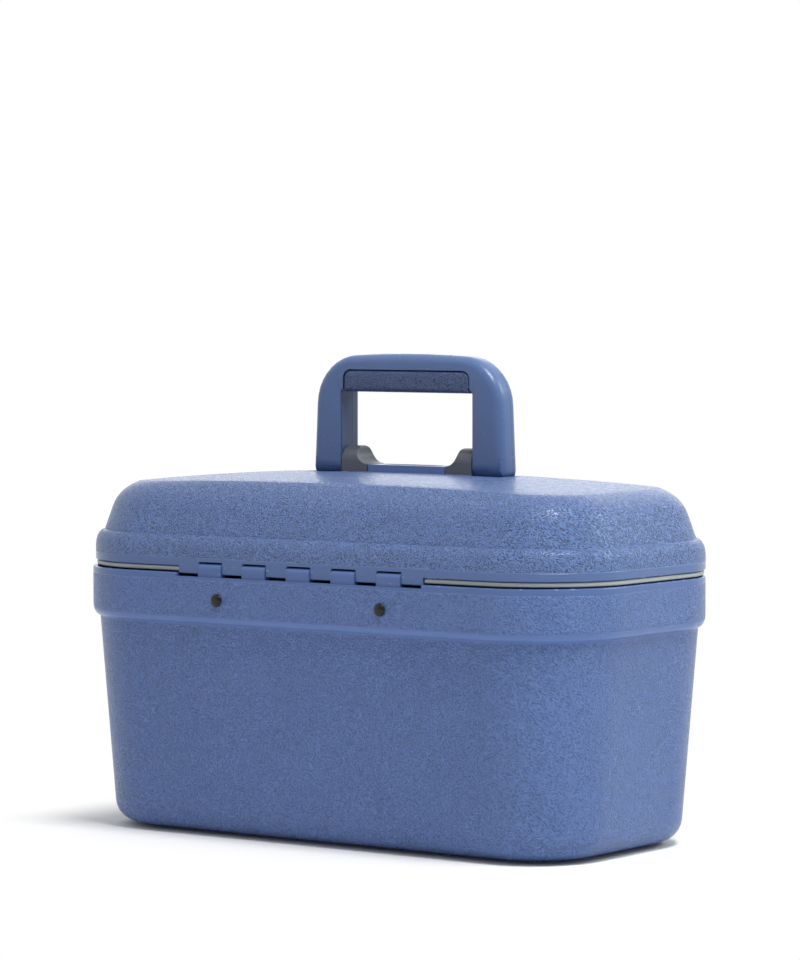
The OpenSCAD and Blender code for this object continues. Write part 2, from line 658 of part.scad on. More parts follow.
module screw_up(r, head_r, tip) {
    translate([0, 0, boss_z - plate_t]) mirror([0, 0, 1])
        dome_screw(head_r, screw_head_h, r, tip - boss_z + plate_t);
}

module block_screws() color([0.75, 0.76, 0.78])
    for (s = [-1, 1]) translate([s * block_screw_x, pivot_y, 0]) screw_up(screw_r, 3.6, seat_z + 3.8);

module plate_screws() color([0.75, 0.76, 0.78])
    for (s = [-1, 1]) translate([s * plate_screw_x, pivot_y, 0]) screw_up(1.48, 3.2, seat_z + plate_h - 1.6);

// ---------------------------------------------------------------- mirror

module mirror_frame() color([0.5, 0.52, 0.56])
    difference() {
        translate([0, lid_y, frame_z]) linear_extrude(frame_t)
            round_rect(mirror_l + 2 * frame_rim, mirror_w + 2 * frame_rim, 16);
        translate([0, lid_y, frame_z - 1]) linear_extrude(frame_t + 2)
            round_rect(mirror_l - 2 * mirror_lip, mirror_w - 2 * mirror_lip, 6);
        translate([0, lid_y, mirror_z - 0.1]) linear_extrude(frame_t)
            round_rect(mirror_l + 2 * seam, mirror_w + 2 * seam, 8);
        for (sx = [-1, 1], sy = [-1, 1]) translate([sx * post_x, lid_y + sy * post_y, frame_z - 1])
            cylinder(r = 1.4, h = frame_t + 2);
    }

module lid_mirror() color([0.8, 0.85, 0.88])
    translate([0, lid_y, mirror_z]) linear_extrude(mirror_t) round_rect(mirror_l, mirror_w, 8);

module mirror_backing() color([0.3, 0.31, 0.33])
    difference() {
        translate([0, lid_y, frame_z + frame_t]) linear_extrude(backing_t)
            round_rect(mirror_l + 2 * frame_rim - 1, mirror_w + 2 * frame_rim - 1, 15.5);
        for (sx = [-1, 1], sy = [-1, 1]) translate([sx * post_x, lid_y + sy * post_y, frame_z])
            cylinder(r = 1.4, h = frame_t + 2);
    }

module mirror_screws() color([0.75, 0.76, 0.78])
    for (sx = [-1, 1], sy = [-1, 1]) translate([sx * post_x, lid_y + sy * post_y, frame_z])
        mirror([0, 0, 1]) dome_screw(2.4, 1.3, 1.2, frame_t + backing_t + 5.4);

// ---------------------------------------------------------------- hasp

module hasp_bracket() color([0.62, 0.63, 0.65])
    difference() {
        union() {
            translate([0, front_y, 0]) block3([-bracket_half, -1.2, rim_z + 0.8],
                [bracket_half, 0, belt_top_z]);
            for (s = [-1, 1]) translate([s * (bracket_half - ear_w / 2), 0, 0]) {
                rod_x(barrel_r + 0.4, -ear_w / 2, ear_w / 2, hasp_y, hasp_z);
                block3([-ear_w / 2, hasp_y, hasp_z - barrel_r - 0.4],
                    [ear_w / 2, front_y - 0.5, belt_top_z]);
            }
        }
        rod_x(pin_r + 0.02, -big, big, hasp_y, hasp_z);
        for (s = [-1, 1]) rod_y(1.2, s * bracket_screw_x, front_y - 1.1, front_y + 1, bracket_z);
    }

module hasp_pin() color([0.75, 0.76, 0.78])
    rod_x(pin_r, -bracket_half + 0.3, bracket_half - 0.3, hasp_y, hasp_z);

module hasp() color([0.66, 0.67, 0.69])
    difference() {
        union() {
            rod_x(barrel_r, -hasp_w / 2, hasp_w / 2, hasp_y, hasp_z);
            block3([-hasp_w / 2, hasp_y - hasp_t / 2, step_z + 4.5], [hasp_w / 2, hasp_y + hasp_t / 2, hasp_z]);
            // thumb lip and hook at the lower edge
            translate([0, hasp_y + hasp_t / 2, step_z + 4.5]) rotate([90, 0, 0]) linear_extrude(hasp_t)
                round_rect(hasp_w, 8, 3);
            block3([-3, hasp_y, step_z + 2], [3, front_y - run, step_z + 5]);
        }
        rod_x(pin_r + fit, -big, big, hasp_y, hasp_z);
    }

// ---------------------------------------------------------------- handle

// Outer and inner outline of one half of the handle, from the foot to the middle, each
// row [outer x, outer z, inner x, inner z]
inner_r = 1.6;
shoulder_z = handle_top - handle_r;
half_w = handle_w / 2;
foot_z = pivot_z - foot_arc;
foot_round = 4.5;
top_crown = 1; // the crossbar's top rises this much in the middle
function lean_at(z) = leg_lean * (z - foot_z) / (shoulder_z - foot_z);
half_rows = concat(
    [for (a = [0, 30, 60, 90]) let (z = foot_z + foot_round * (1 - cos(a)))
        [half_w - foot_round * (1 - sin(a)) - lean_at(z), z, leg_in, z]],
    [for (k = [1:3]) let (z = foot_z + foot_round + (shoulder_z - foot_z - foot_round) * k / 4)
        [half_w - lean_at(z), z, leg_in, z]],
    [for (a = [0:10:90]) [half_w - leg_lean - handle_r + handle_r * cos(a),
        shoulder_z - top_crown + handle_r * sin(a),
        leg_in - inner_r + inner_r * cos(a), opening_top - inner_r + inner_r * sin(a)]],
    [for (k = [1:3]) let (x = (half_w - leg_lean - handle_r) * (1 - k / 4))
        [x, handle_top - top_crown * pow(x / (half_w - leg_lean - handle_r), 2),
            (leg_in - inner_r) * (1 - k / 4), opening_top]]);
bow_rows = concat(half_rows, [[0, handle_top, 0, opening_top]],
    [for (i = [len(half_rows) - 1:-1:0]) let (r = half_rows[i]) [-r[0], r[1], -r[2], r[3]]]);

// A handle section: round outer edges, nearly square inner ones. w is its width in the
// plane of the handle; each point is [distance from the inner face, y]
inner_edge = 1.4;
function section(w) = let (h = handle_t / 2, re = min(edge_r, w * 0.35)) concat(
    arc(w - re, h - re, re, 0, 90, 6), arc(inner_edge, h - inner_edge, inner_edge, 90, 180, 3),
    arc(inner_edge, inner_edge - h, inner_edge, 180, 270, 3), arc(w - re, re - h, re, 270, 360, 6));
section_n = len(section(20));

module bow_solid() {
    points = [for (r = bow_rows) let (d = [r[0] - r[2], r[1] - r[3]], w = norm(d))
        for (p = section(w)) [r[2] + d[0] * p[0] / w, pivot_y + p[1], r[3] + d[1] * p[0] / w]];
    n = section_n;
    rows = len(bow_rows);
    polyhedron(points = points, convexity = 6, faces = concat(
        [for (j = [0:rows - 2], i = [0:n - 1]) let (a = j * n + i, b = j * n + (i + 1) % n)
            each [[a, b + n, b], [a, a + n, b + n]]],
        [[for (i = [0:n - 1]) i], [for (i = [n - 1:-1:0]) (rows - 1) * n + i]]));
}

// The grip's place in the crossbar, grown by g
module grip_space(g) {
    difference() {
        translate([0, pivot_y + big / 2, 0]) rotate([90, 0, 0]) linear_extrude(big)
            polygon(concat([[grip_l / 2 + g, opening_top - 8], [grip_l / 2 + g, opening_top + grip_h - 5]],
                arc(grip_l / 2 - 5, opening_top + grip_h - 5, 5 + g, 0, 90, 5),
                arc(5 - grip_l / 2, opening_top + grip_h - 5, 5 + g, 90, 180, 5),
                [[-grip_l / 2 - g, opening_top - 8]]));
        // spine of the bow that the grip is moulded round
        block3([-big, pivot_y - 4 + g, opening_top + 4 + g], [big, pivot_y + 4 - g, big]);
    }
}

module handle_bow() color([0.31, 0.38, 0.53])
    difference() {
        intersection() {
            bow_solid();
            union() {
                rod_x(foot_arc, -big, big, pivot_y, pivot_z);
                block3([-big, pivot_y - big, pivot_z], [big, pivot_y + big, big]);
            }
        }
        grip_space(seam);
        for (s = [-1, 1]) mirror([s < 0 ? 1 : 0, 0, 0])
            rod_x(pivot_r + fit, block_in, block_out + pivot_len + 0.6, pivot_y, pivot_z);
    }

module grip_insert() color([0.28, 0.34, 0.47])
    intersection() {
        bow_solid();
        grip_space(0);
    }

base_shell();
hinge_pin();
elastic_strap();
rivet_left();
rivet_right();
rivet_washers();
lock_body();
lock_backplate();
lock_screws();
dial_axle();
dial_left();
dial_middle();
dial_right();
release_slider();
organiser_tray();
lid_shell();
rim_seal();
pivot_block_left();
pivot_block_right();
pivot_pins();
mount_plate();
backing_plate();
block_screws();
plate_screws();
lid_mirror();
mirror_frame();
mirror_backing();
mirror_screws();
hasp_bracket();
hasp_pin();
hasp();
handle_bow();
grip_insert();
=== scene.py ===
"""Dresses a hard-shell beauty case: grained blue shells, a folding handle, hinge and
rivets, a number lock, the lift-out tray and the lid's mirror, on a pale studio floor."""

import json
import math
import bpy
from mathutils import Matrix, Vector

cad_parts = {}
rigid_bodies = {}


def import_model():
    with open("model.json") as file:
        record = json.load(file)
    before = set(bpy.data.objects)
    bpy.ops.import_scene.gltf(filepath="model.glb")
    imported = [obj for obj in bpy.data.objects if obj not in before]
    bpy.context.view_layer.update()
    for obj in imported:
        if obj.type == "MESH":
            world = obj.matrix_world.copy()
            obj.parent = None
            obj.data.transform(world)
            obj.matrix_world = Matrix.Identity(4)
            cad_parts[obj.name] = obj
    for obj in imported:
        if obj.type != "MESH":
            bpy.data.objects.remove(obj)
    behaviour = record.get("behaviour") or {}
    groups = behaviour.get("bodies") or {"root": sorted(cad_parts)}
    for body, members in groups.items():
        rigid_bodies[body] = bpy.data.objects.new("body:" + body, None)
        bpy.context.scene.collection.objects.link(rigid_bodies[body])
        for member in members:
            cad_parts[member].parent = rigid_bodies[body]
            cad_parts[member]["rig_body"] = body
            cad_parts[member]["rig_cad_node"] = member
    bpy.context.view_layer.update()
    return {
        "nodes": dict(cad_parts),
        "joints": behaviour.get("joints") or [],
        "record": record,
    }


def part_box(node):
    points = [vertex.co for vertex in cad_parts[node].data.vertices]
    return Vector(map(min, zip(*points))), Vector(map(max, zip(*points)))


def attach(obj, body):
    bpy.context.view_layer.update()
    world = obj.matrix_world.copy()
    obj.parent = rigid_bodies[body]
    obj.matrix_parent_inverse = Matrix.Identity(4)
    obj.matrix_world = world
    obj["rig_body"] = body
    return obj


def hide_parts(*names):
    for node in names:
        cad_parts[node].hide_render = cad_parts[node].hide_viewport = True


bl_info = {
    "name": "Beauty Case",
    "version": (1, 0, 0),
    "blender": (4, 5, 0),
    "location": "View3D > Sidebar > Beauty Case",
    "description": "Finishes for the shells, handle, hinge, lock, tray and mirror of a beauty case",
    "category": "Object",
}

import bpy
from bpy.props import FloatProperty, FloatVectorProperty, PointerProperty
from mathutils import Matrix, Vector

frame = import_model()
NODES = frame["nodes"]
BODY_OF = {n: body for body, names in frame["record"]["behaviour"]["bodies"].items() for n in names}
JOINTS = {joint["name"]: joint for joint in frame["joints"]}
MM = 0.001
NEAR = 0.01 * MM  # corners closer than this are level with each other
FAR = 1.0  # longer than the case
SKIN_SIZE, SKIN_DEPTH = 0.35 * MM, 0.008 * MM  # fine skin of the smooth plastics and the paint
UNDER_AXIS = 2.4 * MM  # from the lid hinge's axis down to the base's rim
UNDER_ROLL = 1 * MM  # how far the belt's lower line is above its roll's lower edge
ROLL_TONE, BAND_TONE = 0.1, 0.5  # how much of a shell's dark shade the roll and the bands have
BASE_MIDDLE, LID_MIDDLE = 80 * MM, 160 * MM  # the shells' outer faces look away from here
LID_FADE = (1.04, 1, 0.93)  # the lid has seen more sun than the base
PARTING_SHARE = 0.62  # how near the handle's mould line is to its front, from 0 to 1
SLOT_TURN = 0.4  # angle of the screws' cross slots
SLOT_REACH = 1.3  # length of a cross slot as a part of the head's radius
SLOT_DEPTH = 1.6 * MM  # half of it is above the head
SMALL_HEAD = 2.4 * MM  # radius of the mirror screws' heads
DIGITS = 10
DIGIT_SHARE = 0.69  # height of a number as a part of its letter size
FLOOR_SIZE, FLOOR_DROP = 60, 0.2 * MM
SHADOW_X, SHADOW_Y = 0.17, 0.08  # half sizes of the floor's patch that keeps the shadow
SHADOW_FADE = 0.07
LAMPS = {  # where a lamp stands, where it looks, its size and its tint
    "key": ((-0.65, 0.25, 1.5), (0, 0, 0.12), (0.5, 0.5), (1, 1, 1)),
    "side": ((-1.1, -0.9, 1.0), (0, 0, 0.16), (0.7, 0.5), (0.88, 1, 0.9)),
    "rim": ((0.9, -1.5, 0.75), (0, 0, 0.2), (1.5, 0.7), (1, 1, 1)),
}


def linear(red, green, blue):
    """Linear colour of an sRGB colour written from 0 to 255."""
    return tuple(
        (c / 255 / 12.92) if c <= 10.31 else ((c / 255 + 0.055) / 1.055) ** 2.4
        for c in (red, green, blue)
    )


def length(name, default, description):
    return FloatProperty(
        name=name, description=description, default=default, unit="LENGTH", precision=5
    )


def colour(name, rgb, description):
    return FloatVectorProperty(
        name=name, description=description, default=linear(*rgb), subtype="COLOR", size=3,
        min=0, max=1
    )


def scaled(colour, share, lift=0.0):
    """A colour made lighter or darker, and lifted towards white."""
    return [min(1, c * share + lift) for c in colour]


def amount(name, default, description, unit="NONE"):
    return FloatProperty(name=name, description=description, default=default, unit=unit)


# ------------------------------------------------------------------ what a user may change


class CaseSizes(bpy.types.PropertyGroup):
    """Sizes of the finishes and of the small pieces."""

    grain: length("Grain", 1.3 * MM, "Distance between the wrinkles of the shells' leather grain")
    grain_depth: length("Grain depth", 0.32 * MM, "Depth of the leather grain")
    grip_grain: length("Grip grain", 1.0 * MM, "Distance between the wrinkles of the handle's grip")
    grip_proud: length("Grip proud", 0.9 * MM, "How far the soft grip swells out of the handle")
    grip_gap: length("Grip gap", 0.15 * MM, "Seam between the grip and the handle")
    grip_corner: length("Grip corner", 5 * MM, "Radius of the grip's upper corners")
    grip_round: length("Grip round", 3.2 * MM, "Radius of the edges round the grip's faces")
    edge: length("Edge", 0.35 * MM, "Radius that the light sees on the edges of the hard pieces")
    base_band: length("Base band", 3.8 * MM, "Width of the smooth band under the base's rim")
    lid_band: length("Lid band", 4.9 * MM, "Width of the smooth band above the lid's rim")
    belt_roll: length("Belt roll", 4.2 * MM, "Height of the smooth roll at the belt's lower edge")
    belt_height: length("Belt height", 28.8 * MM, "Height of the base's belt")
    line_depth: length("Line depth", 0.16 * MM, "Depth of the fine line at a smooth band's edge")
    sharp_edge: length("Sharp edge", 0.12 * MM, "Half the width of a smooth band's edge")
    soft_edge: length("Soft edge", 1.2 * MM, "Half the width of the edge of the belt's roll")
    number_height: length("Number height", 1.7 * MM, "Height of the numbers on the dials")
    number_relief: length("Number relief", 0.03 * MM, "How far the numbers stand out of the dials")
    rivet_dome: length("Rivet dome", 1.8 * MM, "How far in from the rim the rivets look domed")
    strap_rib: length("Strap rib", 0.9 * MM, "Distance between the ribs of the elastic strap")
    screw_slot: length("Screw slot", 0.6 * MM, "Width of the cross slots in the screws")
    glass_border: length("Glass border", 7 * MM, "Width of the border round the mirror's face")
    glass_back: length("Glass back", 0.4 * MM, "How far the mirror's sheet is set back in the lid")


class CaseColours(bpy.types.PropertyGroup):
    """Colours of the finishes."""

    shell: colour("Shell", (85, 110, 163), "Moulded shells")
    handle: colour("Handle", (79, 101, 143), "Handle and the plate at its foot")
    grip: colour("Grip", (58, 75, 116), "Soft grip on the handle")
    block: colour("Block", (77, 82, 94), "Pivot blocks")
    seal: colour("Seal", (158, 163, 165), "Seal between the shells")
    steel: colour("Steel", (196, 198, 202), "Pins, screws and washers")
    rivet: colour("Rivet", (22, 21, 22), "Lacquered rivets")
    strap: colour("Strap", (38, 42, 52), "Elastic strap")
    lock: colour("Lock", (150, 152, 157), "Painted metal of the lock")
    dial: colour("Dial", (26, 26, 28), "Number dials and slider")
    number: colour("Number", (232, 232, 228), "Numbers on the dials")
    tray: colour("Tray", (190, 194, 202), "Lift-out tray")
    frame: colour("Frame", (112, 118, 130), "Mirror's frame")
    backing: colour("Backing", (44, 44, 46), "Sheet behind the mirror")
    glass: colour("Glass", (226, 231, 233), "Silvered glass")
    floor: colour("Floor", (236, 236, 236), "Studio floor")
    # how strong the painted shade in the grain's creases is; the lid's is stronger
    base_contrast: amount("Base contrast", 0.38, "How much darker the base's creases are")
    lid_contrast: amount("Lid contrast", 0.6, "How much darker the lid's creases are")


class CaseStage(bpy.types.PropertyGroup):
    """Camera and light."""

    lens: amount("Lens", 153.8, "Focal length for a 36 mm long side", "CAMERA")
    yaw: amount("Yaw", 0.6295, "Turn of the view from the case's length", "ROTATION")
    pitch: amount("Pitch", -0.0470, "Tilt of the camera", "ROTATION")
    place: FloatVectorProperty(name="Place", description="Where the camera stands",
        default=(-1.3905, 1.9029, 0.3145), subtype="TRANSLATION", size=3)
    ambient: amount("Ambient", 0.74, "Strength of the light from all round")
    front_dim: amount("Front dim", 0.72, "Part of that light which comes from the camera's side")
    gloss_dim: amount("Gloss dim", 0.3, "Part of the surroundings' white that gloss shows there")
    key: amount("Key", 21, "Power of the lamp overhead", "POWER")
    side: amount("Side", 7.5, "Power of the lamp at the case's end", "POWER")
    rim: amount("Rim", 4, "Power of the lamp behind the case", "POWER")


# ------------------------------------------------------------------ finishes


class Signal:
    """A node's output that can be used in a Python expression."""

    def __init__(self, nodes, socket):
        self.nodes = nodes
        self.socket = socket

    def __add__(self, other):
        return self.nodes.maths("ADD", self, other)

    def __sub__(self, other):
        return self.nodes.maths("SUBTRACT", self, other)

    def __rsub__(self, other):
        return self.nodes.maths("SUBTRACT", other, self)

    def __mul__(self, other):
        return self.nodes.maths("MULTIPLY", self, other)

    def __abs__(self):
        return self.nodes.maths("ABSOLUTE", self)

    __radd__ = __add__
    __rmul__ = __mul__


class Nodes:
    """Adds nodes to a material's or world's tree."""

    def __init__(self, tree):
        self.tree = tree
        tree.nodes.clear()

    def add(self, kind, inputs, output=0, **settings):
        """Adds a node, sets it up, fills its sockets and returns one output."""
        node = self.tree.nodes.new(kind)
        for name, value in settings.items():
            setattr(node, name, value)
        for key, value in inputs.items() if isinstance(inputs, dict) else enumerate(inputs):
            if isinstance(value, Signal):
                self.tree.links.new(value.socket, node.inputs[key])
            elif value is not None:
                node.inputs[key].default_value = value
        return Signal(self, node.outputs[output]) if node.outputs else None

    def maths(self, operation, *values):
        return self.add("ShaderNodeMath", values, operation=operation)

    def vector(self, operation, *values, output=0):
        return self.add("ShaderNodeVectorMath", values, output, operation=operation)

    def blend(self, share, first, second):
        """Mixes two colours."""
        shades = [c if isinstance(c, Signal) else (*c, 1) for c in (first, second)]
        inputs = {0: share, 6: shades[0], 7: shades[1]}
        return self.add("ShaderNodeMix", inputs, 2, data_type="RGBA")

    def rise(self, value, low, high, start=0.0, end=1.0):
        """Goes smoothly from start to end while value goes from low to high."""
        return self.add("ShaderNodeMapRange", [value, low, high, start, end],
            interpolation_type="SMOOTHSTEP")

    def place(self, turn=(0, 0, 0), scale=(1, 1, 1)):
        """Object coordinates, turned and scaled."""
        where = self.add("ShaderNodeTexCoord", [], "Object")
        return self.add("ShaderNodeMapping", {0: where, 2: turn, 3: scale})

    def heights(self):
        """X, Y and Z of the object coordinates."""
        where = self.add("ShaderNodeTexCoord", [], "Object")
        return [self.add("ShaderNodeSeparateXYZ", [where], axis) for axis in range(3)]

    def noise(self, where, size, detail=2.0, output=0):
        return self.add("ShaderNodeTexNoise",
            {"Vector": where, "Scale": 1 / size, "Detail": detail}, output)


def finish(name, colour, roughness, build=None, edge=0.0, **sockets):
    """Makes a material. build may return signals for Base Color, Roughness and the bump.
    edge is the radius that the light sees on sharp edges."""
    material = bpy.data.materials.new(name)
    material.use_nodes = True
    nodes = Nodes(material.node_tree)
    changing = build(nodes) if build else {}
    height = changing.pop("height", None)
    values = {"Base Color": (*colour, 1), "Roughness": roughness}
    for key, value in sockets.items():
        values[key.replace("_", " ").title().replace("Ior", "IOR")] = value
    values.update(changing)
    if edge:
        values["Normal"] = nodes.add("ShaderNodeBevel", {"Radius": edge}, samples=8)
    if height:
        values["Normal"] = nodes.add("ShaderNodeBump",
            {"Height": height, "Distance": 1.0, "Strength": 1.0, "Normal": values.get("Normal")})
    surface = nodes.add("ShaderNodeBsdfPrincipled", values)
    nodes.add("ShaderNodeOutputMaterial", [surface])
    return material


def shade(nodes, colour, size, change):
    """The colour with soft lighter and darker clouds of the given size."""
    clouds = nodes.rise(nodes.noise(nodes.place(), size, 3.0), 0.3, 0.7)
    return nodes.blend(clouds, scaled(colour, 1 - change), scaled(colour, 1 + change))


def leather(nodes, size):
    """Height of a wrinkled leather grain, from 0 in the creases to 1 on top. The wrinkles run
    slantwise over every side of the case."""
    turned = nodes.place(turn=(math.radians(45), math.radians(-35.3), 0))
    where = nodes.vector("MULTIPLY", turned, (1, 1, 0.45))
    bend = nodes.vector("SUBTRACT", nodes.noise(where, size * 4, 1.0, output=1), (0.5, 0.5, 0.5))
    where = nodes.vector("MULTIPLY_ADD", bend, (size * 2.4,) * 3, where)
    return nodes.rise(nodes.noise(where, size * 0.5, 1.0), 0.32, 0.6)


def outside(nodes, middle_z):
    """1 on faces that look away from the middle of the case, 0 on those that look in."""
    where = nodes.vector("SUBTRACT", nodes.place(), (0, 0, middle_z))
    normal = nodes.add("ShaderNodeTexCoord", [], "Normal")
    return nodes.rise(nodes.vector("DOT_PRODUCT", where, normal, output=1), -0.004, 0.004)


def shell_finish(name, sizes, colour, middle_z, contrast, bands, highlit_groove_heights, rims):
    """Grained plastic, smooth inside and in the bands, with painted shade in the grain's creases.
    A band has two heights, how soft its edges are, and how much darker it is. Fine grooves with a
    painted highlight along them, and the rims' wear, are at heights."""

    def build(nodes):
        z = nodes.heights()[2]
        smooth, line, tone = 0.0, 0.0, 0.0
        for low, high, soft, darker in bands:
            band = nodes.rise(z, low - soft, low + soft)
            band = band * nodes.rise(z, high - soft, high + soft, 1.0, 0.0)
            smooth = band + smooth
            tone = band * darker + tone
        for height in highlit_groove_heights:
            line = nodes.rise(abs(z - height), 0.1 * MM, 0.4 * MM, 1.0, 0.0) + line
        out = outside(nodes, middle_z)
        grained = (1 - smooth) * out
        grain = leather(nodes, sizes.grain)
        crease_and_painted_shade = (1 - grain) * grained
        plain = nodes.blend(tone, scaled(colour, 1 + contrast * 0.3), scaled(colour, 0.5))
        # painted shade in the grain's creases, standing in for the occlusion there
        painted_shade_highlight_and_wear = nodes.blend(crease_and_painted_shade, plain, scaled(colour, 1 - contrast))
        # painted highlight along the fine grooves at the bands' edges
        painted_shade_highlight_and_wear = nodes.blend(line * out * 0.4, painted_shade_highlight_and_wear, scaled(colour, 1.5))
        scuffs = nodes.rise(nodes.noise(nodes.place(scale=(1, 1, 3)), 5 * MM, 4.0), 0.6, 0.66)
        rim = 0.0
        for height in rims:
            rim = nodes.rise(abs(z - height), 0.15 * MM, 0.8 * MM, 1.0, 0.0) + rim
        painted_shade_highlight_and_wear = nodes.blend(scuffs * rim * out * 0.6, painted_shade_highlight_and_wear, scaled(colour, 1.5, 0.12))
        clouds = nodes.rise(nodes.noise(nodes.place(), 60 * MM, 3.0), 0.3, 0.7, 0.97, 1.03)
        return {
            "Base Color": nodes.vector("SCALE", painted_shade_highlight_and_wear, None, None, clouds),
            "Roughness": grained * 0.04 + nodes.noise(nodes.place(), 25 * MM) * 0.08 + 0.2,
            "height": crease_and_painted_shade * -sizes.grain_depth + line * out * -sizes.line_depth,
        }

    return finish(name, colour, 0.3, build, specular_ior_level=0.32)


def satin_finish(name, colour, roughness, detail=None, **sockets):
    """Smooth moulded plastic or paint with a very fine skin and a few faint scuffs. detail
    may return how dark and how deep a mark is."""

    def build(nodes):
        skin = nodes.noise(nodes.place(), SKIN_SIZE)
        strokes = nodes.noise(nodes.place(turn=(0.4, 1.1, 0.2), scale=(1, 0.05, 1)), 1.2 * MM, 1.0)
        where = nodes.rise(nodes.noise(nodes.place(), 16 * MM, 1.0), 0.52, 0.62)
        scuffs = nodes.rise(strokes, 0.68, 0.74) * where
        shades = nodes.blend(scuffs * 0.35, shade(nodes, colour, 30 * MM, 0.03),
            scaled(colour, 1.3, 0.04))
        height = skin * SKIN_DEPTH
        if detail:
            mark = detail(nodes)
            # a mark darkens towards a fifth of the colour: a real mould line, or painted shade, as
            # its detail gives
            shades = nodes.blend(mark, shades, scaled(colour, 0.2))
            height = mark * (-0.1 * MM) + height
        wear = nodes.noise(nodes.place(), 12 * MM) * 0.08 + scuffs * 0.12
        return {
            "Base Color": shades,
            "Roughness": wear + (roughness - 0.04),
            "height": height,
        }

    return finish(name, colour, roughness, build, **sockets)


def grip_finish(name, sizes, colour):
    """Soft plastic with the shells' leather grain, finer."""

    def build(nodes):
        grain = leather(nodes, sizes.grip_grain)
        return {
            # painted shade in the grain's creases
            "Base Color": nodes.blend(grain, scaled(colour, 0.2), scaled(colour, 1.3)),
            "Roughness": grain * -0.08 + 0.5,
            "height": grain * (0.3 * MM),
        }

    return finish(name, colour, 0.46, build)


def brushed_finish(name, colour, roughness):
    """Metal with fine scratches along Y."""

    def build(nodes):
        scratches = nodes.noise(nodes.place(scale=(1, 0.03, 1)), 0.12 * MM, 3.0)
        return {
            "Base Color": nodes.blend(scratches, scaled(colour, 0.9), colour),
            "Roughness": scratches * 0.16 + (roughness - 0.08),
            "height": scratches * (0.003 * MM),
        }

    return finish(name, colour, roughness, build, metallic=1.0)


def strap_finish(name, sizes, colour):
    """Woven elastic: ribs across the strap and threads along it."""

    def build(nodes):
        x, _, z = nodes.heights()
        ribs = abs(nodes.maths("SINE", x * (math.pi / sizes.strap_rib)))
        threads = abs(nodes.maths("SINE", z * (math.pi / (sizes.strap_rib * 0.6))))
        weave = ribs * 0.7 + threads * 0.3
        return {
            "Base Color": nodes.blend(weave, scaled(colour, 0.55), scaled(colour, 1.25)),
            "height": weave * (0.2 * MM),
        }

    return finish(name, colour, 0.85, build, sheen_weight=0.3)


# ------------------------------------------------------------------ modelling


def deselect():
    bpy.ops.object.select_all(action="DESELECT")


def pick(piece):
    """Makes one object the only one selected."""
    deselect()
    piece.hide_set(False)
    piece.select_set(True)
    bpy.context.view_layer.objects.active = piece


def settle(piece, node, material, body=None):
    """Gives a finished piece its material and its body (its node's, if none is given)."""
    piece.data.materials.clear()
    piece.data.materials.append(material)
    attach(piece, body or BODY_OF[node])


def paint(material, *names):
    """Puts a material on CAD nodes."""
    for name in names:
        mesh = NODES[name].data
        mesh.materials.clear()
        mesh.materials.append(material)


def welded_copy(node, name, smooth_to=40):
    """A copy of a CAD node with its loose triangles joined and its curves shaded smooth."""
    pick(NODES[node])
    bpy.ops.object.duplicate()
    piece = bpy.context.view_layer.objects.active
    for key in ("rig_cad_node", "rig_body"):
        del piece[key]
    piece.parent = None
    piece.name = name
    piece.data.name = name
    bpy.ops.object.mode_set(mode="EDIT")
    bpy.ops.mesh.select_all(action="SELECT")
    bpy.ops.mesh.remove_doubles(threshold=0.002 * MM)
    bpy.ops.object.mode_set(mode="OBJECT")
    if piece.data.has_custom_normals:
        bpy.ops.mesh.customdata_custom_splitnormals_clear()
    bpy.ops.object.shade_smooth_by_angle(angle=math.radians(smooth_to))
    return piece


def cut(piece, tool):
    """Cuts tool out of piece and removes tool."""
    pick(piece)
    bpy.ops.object.modifier_add(type="BOOLEAN")
    modifier = piece.modifiers[-1]
    modifier.operation = "DIFFERENCE"
    modifier.solver = "EXACT"
    modifier.object = tool
    bpy.ops.object.modifier_apply(modifier=modifier.name)
    bpy.data.objects.remove(tool)


def pick_edges(piece, wanted):
    """Goes into edit mode with the edges selected whose two ends pass the test."""
    pick(piece)
    bpy.ops.object.mode_set(mode="EDIT")
    bpy.ops.mesh.select_mode(type="EDGE")
    bpy.ops.mesh.select_all(action="DESELECT")
    bpy.ops.object.mode_set(mode="OBJECT")
    for edge in piece.data.edges:
        edge.select = wanted(*(piece.data.vertices[i].co for i in edge.vertices))
    bpy.ops.object.mode_set(mode="EDIT")


def round_edges(piece, wanted, radius, segments):
    """Rounds the edges whose two ends pass the test."""
    pick_edges(piece, wanted)
    bpy.ops.mesh.bevel(offset=radius, segments=segments, affect="EDGES")
    bpy.ops.object.mode_set(mode="OBJECT")


def cross_slots(piece, places, direction, width, reach):
    """Cuts a cross slot into each screw head. direction is the way the heads look."""
    turn = Vector(direction).to_track_quat("Z", "Y").to_matrix().to_4x4()
    for place in places:
        for angle in (SLOT_TURN, SLOT_TURN + math.pi / 2):
            deselect()
            bpy.ops.mesh.primitive_cube_add(size=1)
            tool = bpy.context.view_layer.objects.active
            tool.matrix_world = (Matrix.Translation(place) @ turn @ Matrix.Rotation(angle, 4, "Z")
                @ Matrix.Diagonal((reach, width, SLOT_DEPTH, 1)))
            bpy.ops.object.transform_apply(location=True, rotation=True, scale=True)
            cut(piece, tool)
    bpy.ops.object.shade_smooth_by_angle(angle=math.radians(40))


# ------------------------------------------------------------------ operators


